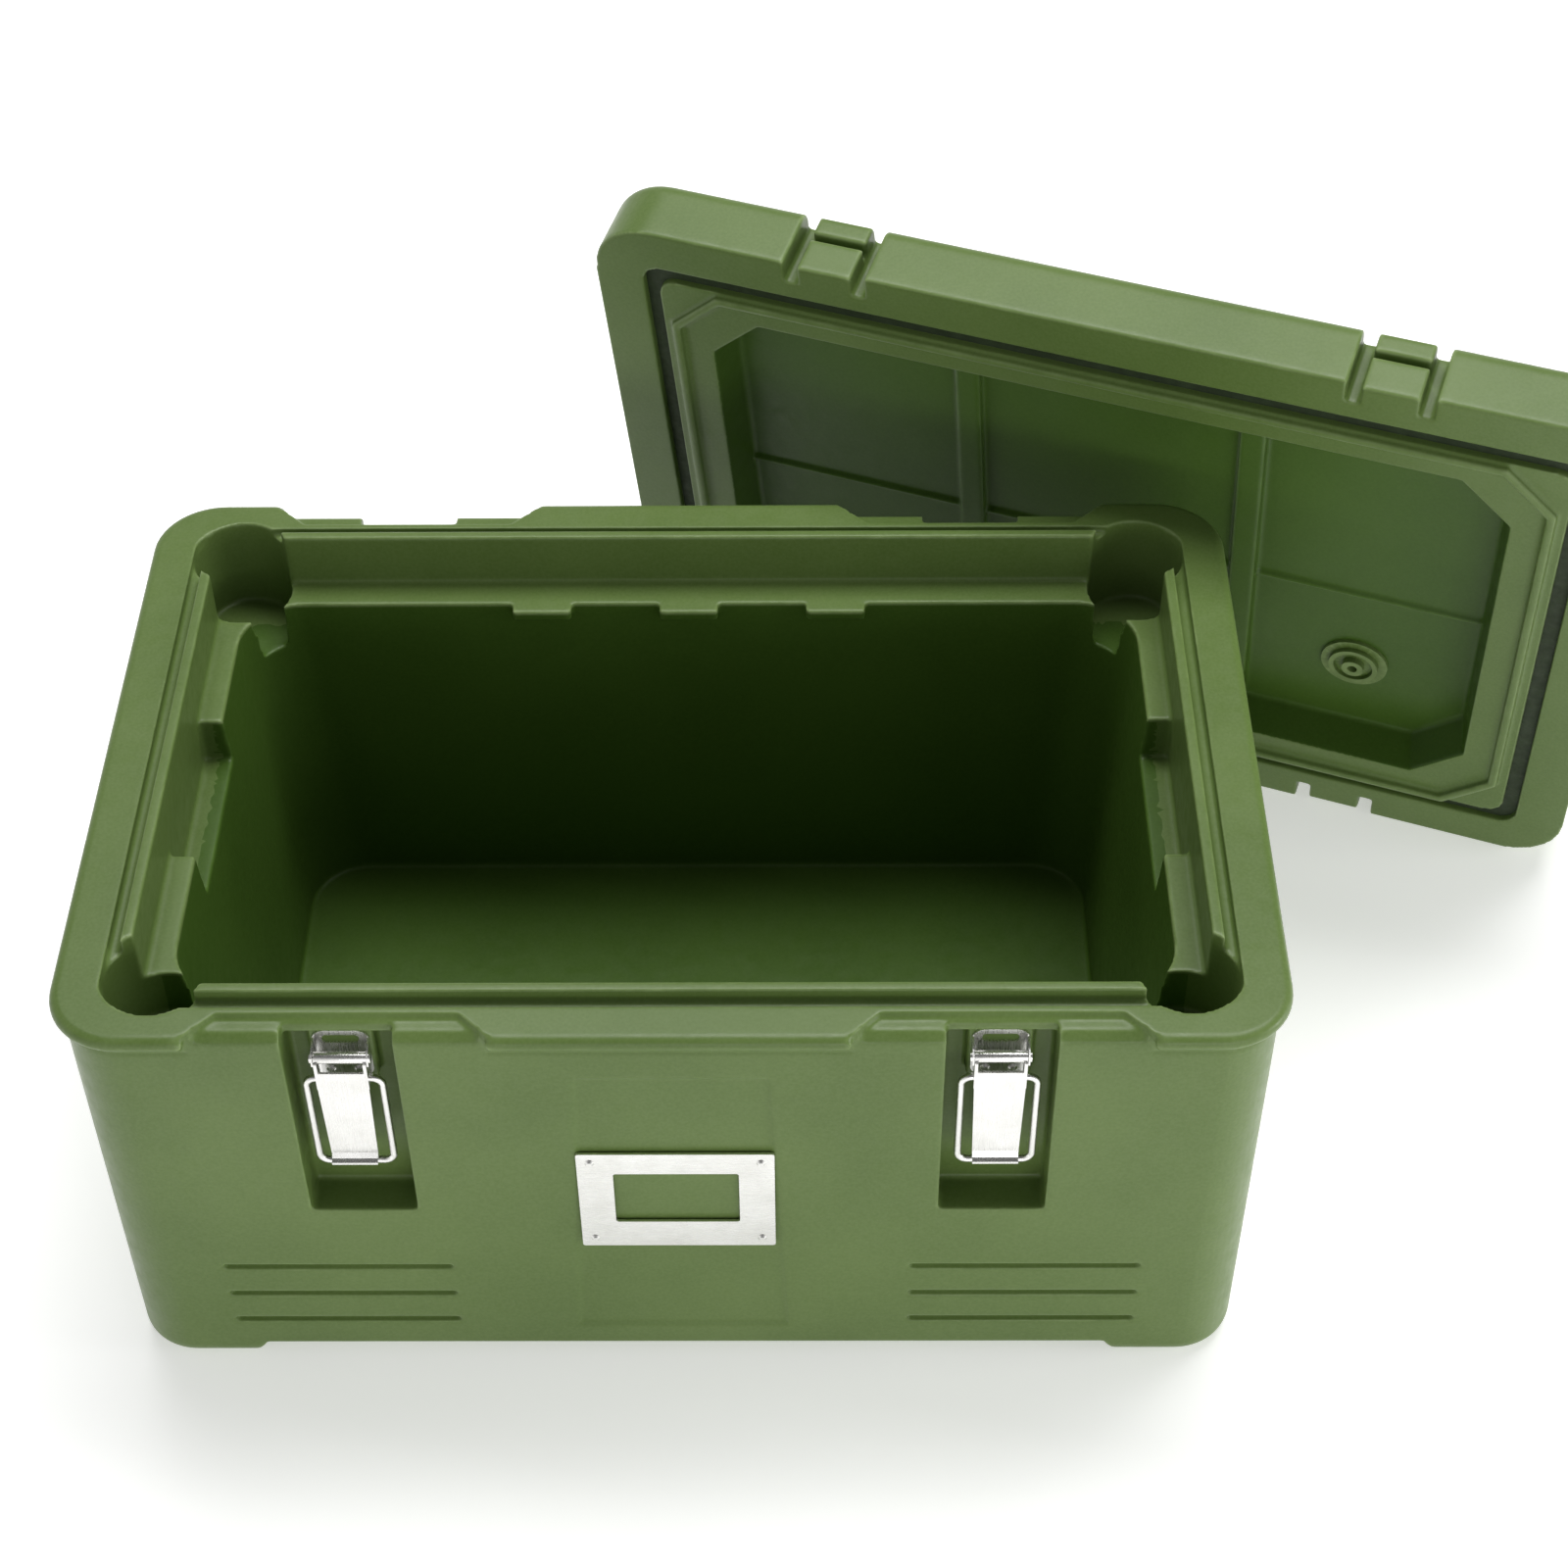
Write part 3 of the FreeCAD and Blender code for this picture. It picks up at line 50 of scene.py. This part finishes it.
class Nodes:
    """A material with one Principled shader, and short ways to add the nodes that drive it."""

    def __init__(self, name, **constants):
        self.material = bpy.data.materials.new(name)
        self.material.use_nodes = True
        self.tree = self.material.node_tree
        self.shader = self.tree.nodes["Principled BSDF"]
        for socket, value in constants.items():
            self.shader.inputs[socket.replace("_", " ")].default_value = value
        self.place = self.add("ShaderNodeTexCoord").outputs["Object"]

    def add(self, kind, **fields):
        made = self.tree.nodes.new(kind)
        for field, value in fields.items():
            setattr(made, field, value)
        return made

    def link(self, source, target):
        self.tree.links.new(source, target)

    def noise(self, scale, detail, roughness=0.5, stretch=(1, 1, 1)):
        """A value from 0 to 1 that varies over 1/scale metres, or more slowly where stretch is small."""
        mapping = self.add("ShaderNodeMapping")
        mapping.inputs["Scale"].default_value = stretch
        self.link(self.place, mapping.inputs["Vector"])
        noise = self.add("ShaderNodeTexNoise")
        noise.inputs["Scale"].default_value = scale
        noise.inputs["Detail"].default_value = detail
        noise.inputs["Roughness"].default_value = roughness
        self.link(mapping.outputs["Vector"], noise.inputs["Vector"])
        return noise.outputs["Fac"]

    def voronoi(self, scale):
        """The distance to the nearest of points about 1/scale metres apart."""
        cells = self.add("ShaderNodeTexVoronoi", feature="F1")
        cells.inputs["Scale"].default_value = scale
        self.link(self.place, cells.inputs["Vector"])
        return cells.outputs["Distance"]

    def spread(self, value, low, high, new_low, new_high):
        """value moved from low..high to new_low..new_high, and held inside it."""
        node = self.add("ShaderNodeMapRange", clamp=True)
        set_range(node, low, high, new_low, new_high)
        self.link(value, node.inputs["Value"])
        return node.outputs["Result"]

    def blend(self, share, first, second):
        """Two colours mixed by share. Each is a tuple or a node's output."""
        mix = self.add("ShaderNodeMix", data_type="RGBA", blend_type="MIX")
        self.link(share, mix.inputs["Factor"])
        for socket, colour in (("A", first), ("B", second)):
            target = [i for i in mix.inputs if i.name == socket and i.type == "RGBA"][0]
            if isinstance(colour, tuple):
                target.default_value = (*colour, 1)
            else:
                self.link(colour, target)
        return [o for o in mix.outputs if o.type == "RGBA"][0]

    def edges(self, low, high):
        """1 on sharp convex edges and 0 on flat faces."""
        return self.spread(self.add("ShaderNodeNewGeometry").outputs["Pointiness"], low, high, 0, 1)

    def bump(self, *layers):
        """Stacks (height, strength, distance in metres) layers on the shader's normal."""
        normal = None
        for height, strength, distance in layers:
            node = self.add("ShaderNodeBump")
            node.inputs["Strength"].default_value = strength
            node.inputs["Distance"].default_value = distance
            self.link(height, node.inputs["Height"])
            if normal:
                self.link(normal, node.inputs["Normal"])
            normal = node.outputs["Normal"]
        self.link(normal, self.shader.inputs["Normal"])

    def drive(self, socket, output):
        self.link(output, self.shader.inputs[socket])


DARK_GREEN = (0.088, 0.142, 0.036)
LIGHT_GREEN = (0.106, 0.165, 0.046)
PALE_GREEN = (0.235, 0.315, 0.145)


def moulded_green(name, tone, tint, gloss):
    """Rotomoulded polyethylene: a satin green with a fine grain, faint mottling and paler edges, which are
    partly wear and partly a painted highlight.
    """

    def shade(colour):
        return tuple(channel * tone * share for channel, share in zip(colour, tint))

    green = Nodes(name, IOR=1.5, Specular_IOR_Level=gloss)
    pale = shade(PALE_GREEN)
    clouds = green.spread(green.noise(7, 4), 0.35, 0.65, 0, 1)
    body = green.blend(clouds, shade(DARK_GREEN), shade(LIGHT_GREEN))
    body = green.blend(green.spread(green.noise(420, 2), 0.30, 0.70, 0, 0.12), body, pale)
    # convex edges lightened in patches towards the pale green: partly wear, partly a painted highlight
    worn_and_highlit = green.spread(green.noise(60, 4), 0.35, 0.75, 0.25, 1)
    edge = green.add("ShaderNodeMath", operation="MULTIPLY")
    green.link(green.edges(0.512, 0.565), edge.inputs[0])
    green.link(worn_and_highlit, edge.inputs[1])
    green.drive("Base Color", green.blend(edge.outputs[0], body, pale))
    green.drive("Roughness", green.spread(green.noise(90, 4), 0.3, 0.7, 0.30, 0.41))
    green.bump((green.noise(9, 2), 0.25, 0.0012), (green.noise(150, 3), 0.10, 0.0004),
               (green.noise(900, 2), 0.16, 0.00012))
    return green.material


def satin_steel(name, stretch):
    """Stainless steel brushed along the axis where stretch is small."""
    steel = Nodes(name, Metallic=1.0, Anisotropic=0.25)
    streaks = steel.noise(900, 3, 0.6, stretch)
    clouds = steel.noise(45, 4)
    tint = steel.blend(steel.spread(clouds, 0.3, 0.7, 0, 1), (0.78, 0.775, 0.75), (0.88, 0.875, 0.86))
    brushed = steel.spread(streaks, 0.35, 0.65, 0, 0.2)
    steel.drive("Base Color", steel.blend(brushed, tint, (0.68, 0.67, 0.65)))
    steel.drive("Roughness", steel.spread(streaks, 0.3, 0.7, 0.22, 0.34))
    steel.bump((streaks, 0.06, 0.00003), (clouds, 0.05, 0.0002))
    return steel.material


def rubber(name, deep, dusty):
    """Matt rubber with a little dust on it."""
    matt = Nodes(name, IOR=1.45)
    dust = matt.spread(matt.noise(80, 5), 0.45, 0.75, 0, 0.5)
    matt.drive("Base Color", matt.blend(dust, deep, dusty))
    matt.drive("Roughness", matt.spread(matt.noise(200, 3), 0.3, 0.7, 0.62, 0.82))
    matt.bump((matt.noise(700, 2), 0.25, 0.0001))
    return matt.material


def foam(name):
    """Rigid foam with open cells."""
    cells = Nodes(name, IOR=1.4)
    walls = cells.spread(cells.voronoi(260), 0.0, 0.6, 0, 1)
    cells.drive("Base Color", cells.blend(walls, (0.62, 0.52, 0.30), (0.82, 0.74, 0.52)))
    cells.drive("Roughness", cells.spread(walls, 0, 1, 0.75, 0.95))
    cells.bump((walls, 0.6, 0.0008))
    return cells.material


def pale_floor(name):
    """White paper that glows a little, as on a light table."""
    floor = Nodes(name, IOR=1.4, Emission_Strength=0.5)
    paper = floor.blend(floor.noise(1.5, 3), (0.86, 0.86, 0.855), (0.90, 0.90, 0.895))
    floor.drive("Base Color", paper)
    floor.drive("Emission Color", paper)
    floor.drive("Roughness", floor.spread(floor.noise(30, 3), 0.3, 0.7, 0.62, 0.75))
    return floor.material


GREEN = moulded_green("moulded_green", 1.0, (1, 1, 0.9), 0.28)
# a darker, more saturated copy of the green for the hollows of tub and lid: painted shade
GREEN_PAINTED_SHADE = moulded_green("moulded_green_painted_shade", 0.66, (0.78, 1, 0.5), 0.22)
GREEN_TRIM = moulded_green("moulded_green_trim", 0.85, (0.95, 1, 0.75), 0.3)
STEEL_UP = satin_steel("steel_brushed_up", (1, 1, 0.03))
STEEL_ALONG = satin_steel("steel_brushed_along", (0.03, 1, 1))
RUBBER = rubber("black_rubber", (0.016, 0.016, 0.015), (0.055, 0.055, 0.050))
SEAL = rubber("green_rubber", (0.016, 0.028, 0.009), (0.035, 0.055, 0.022))
FOAM = foam("wall_foam")


def paint(thing, material):
    """Give the whole of thing one material."""
    thing.data.materials.clear()
    thing.data.materials.append(material)


for name, node in nodes.items():
    if name.startswith(("latch_", "handle_")):
        paint(node, STEEL_UP)
    elif name.startswith("label_"):
        paint(node, STEEL_ALONG)
    elif name.endswith("_foam"):
        paint(node, FOAM)
    else:
        paint(node, GREEN_TRIM)
for name in ("handle_grip_left", "handle_grip_right"):
    paint(nodes[name], RUBBER)
for name in ("lid_gasket", "valve_seal"):
    paint(nodes[name], SEAL)


METAL_EDGE = 0.6 * MM


def soften(node, width):
    """Small rounded edges on a metal part, whose own mesh stays as it is."""
    weld = node.modifiers.new("Weld", "WELD")
    weld.merge_threshold = 1e-5
    flat = node.modifiers.new("Whole faces", "DECIMATE")
    flat.decimate_type = "DISSOLVE"
    flat.angle_limit = math.radians(1)
    bevel = node.modifiers.new("Edges", "BEVEL")
    bevel.width = width
    bevel.segments = 2
    bevel.limit_method = "ANGLE"
    bevel.angle_limit = math.radians(40)


for name, node in nodes.items():
    if name.startswith(("latch_base", "latch_lever", "handle_bracket", "label_frame")):
        soften(node, METAL_EDGE)


# ---------------------------------------------------------------- soft-edged skins of the two moulded shells
# the standing lid: the middle of its rim plane, and how far it is turned and leans back, in degrees
LID_PLACE = Vector((318.3, 316.1, 259.4)) * MM
LID_TURNED = -20.2
LID_LEAN = 11.8
LID_TURN = (Matrix.Rotation(math.radians(LID_TURNED), 4, "Z")
            @ Matrix.Rotation(math.radians(LID_LEAN - 90), 4, "X"))
LID_MATRIX = Matrix.Translation(LID_PLACE) @ LID_TURN
VOXEL = 1.6 * MM
SMOOTHING_PASSES = 5
FACES_KEPT = 0.25


def outer_surface(node, placement):
    """The outer surface of a CAD shell as a new mesh, without its closed hollow, moved back by placement."""
    made = bmesh.new()
    made.from_mesh(nodes[node].data)
    bmesh.ops.remove_doubles(made, verts=made.verts, dist=1e-6)
    left = set(made.verts)
    pieces = []
    while left:
        piece, waiting = set(), [left.pop()]
        while waiting:
            vertex = waiting.pop()
            piece.add(vertex)
            for edge in vertex.link_edges:
                other = edge.other_vert(vertex)
                if other in left:
                    left.remove(other)
                    waiting.append(other)
        pieces.append(piece)
    outside = max(pieces, key=len)
    bmesh.ops.delete(made, geom=[v for v in made.verts if v not in outside], context="VERTS")
    made.transform(placement.inverted())
    mesh = bpy.data.meshes.new(node + "_skin")
    made.to_mesh(mesh)
    made.free()
    return mesh


def applied(thing):
    """The mesh of thing with its modifiers, which are removed."""
    bpy.context.view_layer.update()
    mesh = bpy.data.meshes.new_from_object(thing.evaluated_get(bpy.context.evaluated_depsgraph_get()))
    thing.modifiers.clear()
    thing.data = mesh
    return mesh


def moulded_skin(name, node, body, placement, inside):
    """A shell as it comes out of a mould, with every edge rounded. inside(point) says what lies in its
    hollow, whose faces get the darker copy of the green, a painted shade.
    """
    thing = bpy.data.objects.new(name, outer_surface(node, placement))
    scene.collection.objects.link(thing)
    remesh = thing.modifiers.new("Remesh", "REMESH")
    remesh.mode = "VOXEL"
    remesh.voxel_size = VOXEL
    smooth = thing.modifiers.new("Smooth", "SMOOTH")
    smooth.factor = 0.5
    smooth.iterations = SMOOTHING_PASSES
    thin = thing.modifiers.new("Thin", "DECIMATE")
    thin.ratio = FACES_KEPT
    mesh = applied(thing)
    painted_shade_faces = [inside(face.center) for face in mesh.polygons]
    mesh.transform(placement)
    mesh.shade_smooth()
    weighted = thing.modifiers.new("Flat faces stay flat", "WEIGHTED_NORMAL")
    weighted.weight = 80
    applied(thing)
    paint(thing, GREEN)
    # faces in the hollow take the darker copy of the green, a painted shade
    thing.data.materials.append(GREEN_PAINTED_SHADE)
    for face, in_painted_shade in zip(thing.data.polygons, painted_shade_faces):
        face.material_index = int(in_painted_shade)
    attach(thing, body)
    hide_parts(node)
    return thing


# the hollows of the tub and lid, where the green is darkened as painted shade
def inside_tub(at):
    return abs(at.x) < 0.340 and abs(at.y) < 0.210 and 0.015 < at.z < 0.319


def inside_lid(at):
    return abs(at.x) < 0.340 and abs(at.y) < 0.205 and 0.0005 < at.z < 0.050


moulded_skin("tub_skin", "tub_shell", "locker", Matrix.Identity(4), inside_tub)
moulded_skin("lid_skin", "lid_shell", "lid", LID_MATRIX, inside_lid)


# ---------------------------------------------------------------- camera, floor and light
CAMERA_PLACE = Vector((0.0866, -1.4373, 1.7756))
CAMERA_ANGLES = (45.29, -0.58, -0.56)  # down, turned and tipped, in degrees
CAMERA_LENS = 66.74
FLOOR_RADIUS = 30
HORIZON = 0.95
ZENITH = 0.14


def aim_camera():
    """A long lens above and in front of the locker, a little to its right."""
    pitch, yaw, roll = (math.radians(angle) for angle in CAMERA_ANGLES)
    forward = Vector((math.sin(yaw) * math.cos(pitch), math.cos(yaw) * math.cos(pitch), -math.sin(pitch)))
    level = Vector((math.cos(yaw), -math.sin(yaw), 0))
    upright = level.cross(forward)
    right = level * math.cos(roll) + upright * math.sin(roll)
    up = upright * math.cos(roll) - level * math.sin(roll)
    data = bpy.data.cameras.new("Camera")
    data.sensor_width = 36
    data.lens = CAMERA_LENS
    data.clip_start, data.clip_end = 0.05, 100
    camera = bpy.data.objects.new("Camera", data)
    turn = Matrix((right, up, -forward)).transposed().to_4x4()
    camera.matrix_world = Matrix.Translation(CAMERA_PLACE) @ turn
    scene.collection.objects.link(camera)
    scene.camera = camera


def area_light(name, place, target, size, watts):
    """A soft box at place that faces target."""
    data = bpy.data.lights.new(name, "AREA")
    data.shape = "RECTANGLE"
    data.size, data.size_y = size
    data.energy = watts
    lamp = bpy.data.objects.new(name, data)
    lamp.location = place
    lamp.rotation_euler = (Vector(target) - Vector(place)).to_track_quat("-Z", "Y").to_euler()
    scene.collection.objects.link(lamp)


def make_floor():
    """A wide disc just under the feet."""
    mesh = bpy.data.meshes.new("floor")
    made = bmesh.new()
    bmesh.ops.create_circle(made, cap_ends=True, segments=96, radius=FLOOR_RADIUS)
    made.to_mesh(mesh)
    made.free()
    floor = bpy.data.objects.new("floor", mesh)
    floor.location = (0.1, 0.1, -0.0003)
    scene.collection.objects.link(floor)
    paint(floor, pale_floor("pale_floor"))


def make_world():
    """An even grey that is bright at the horizon and dim overhead."""
    world = bpy.data.worlds.new("Studio")
    world.use_nodes = True
    tree = world.node_tree
    direction = tree.nodes.new("ShaderNodeTexCoord")
    height = tree.nodes.new("ShaderNodeSeparateXYZ")
    shade = tree.nodes.new("ShaderNodeMapRange")
    set_range(shade, 0.05, 0.70, HORIZON, ZENITH)
    tree.links.new(direction.outputs["Generated"], height.inputs[0])
    tree.links.new(height.outputs["Z"], shade.inputs["Value"])
    tree.links.new(shade.outputs["Result"], tree.nodes["Background"].inputs["Strength"])
    tree.nodes["Background"].inputs["Color"].default_value = (1.0, 1.0, 1.0, 1)
    scene.world = world


aim_camera()
make_floor()
make_world()
area_light("back", (0.4, 1.2, 3.8), (0.1, 0.0, 0.1), (3.6, 1.6), 150)
area_light("front", (1.0, -3.6, 0.6), (0.1, 0.0, 0.2), (3.0, 0.8), 26)
area_light("side", (3.2, -0.5, 0.8), (0.3, 0.0, 0.2), (1.2, 1.2), 30)
scene.view_settings.view_transform = "Standard"
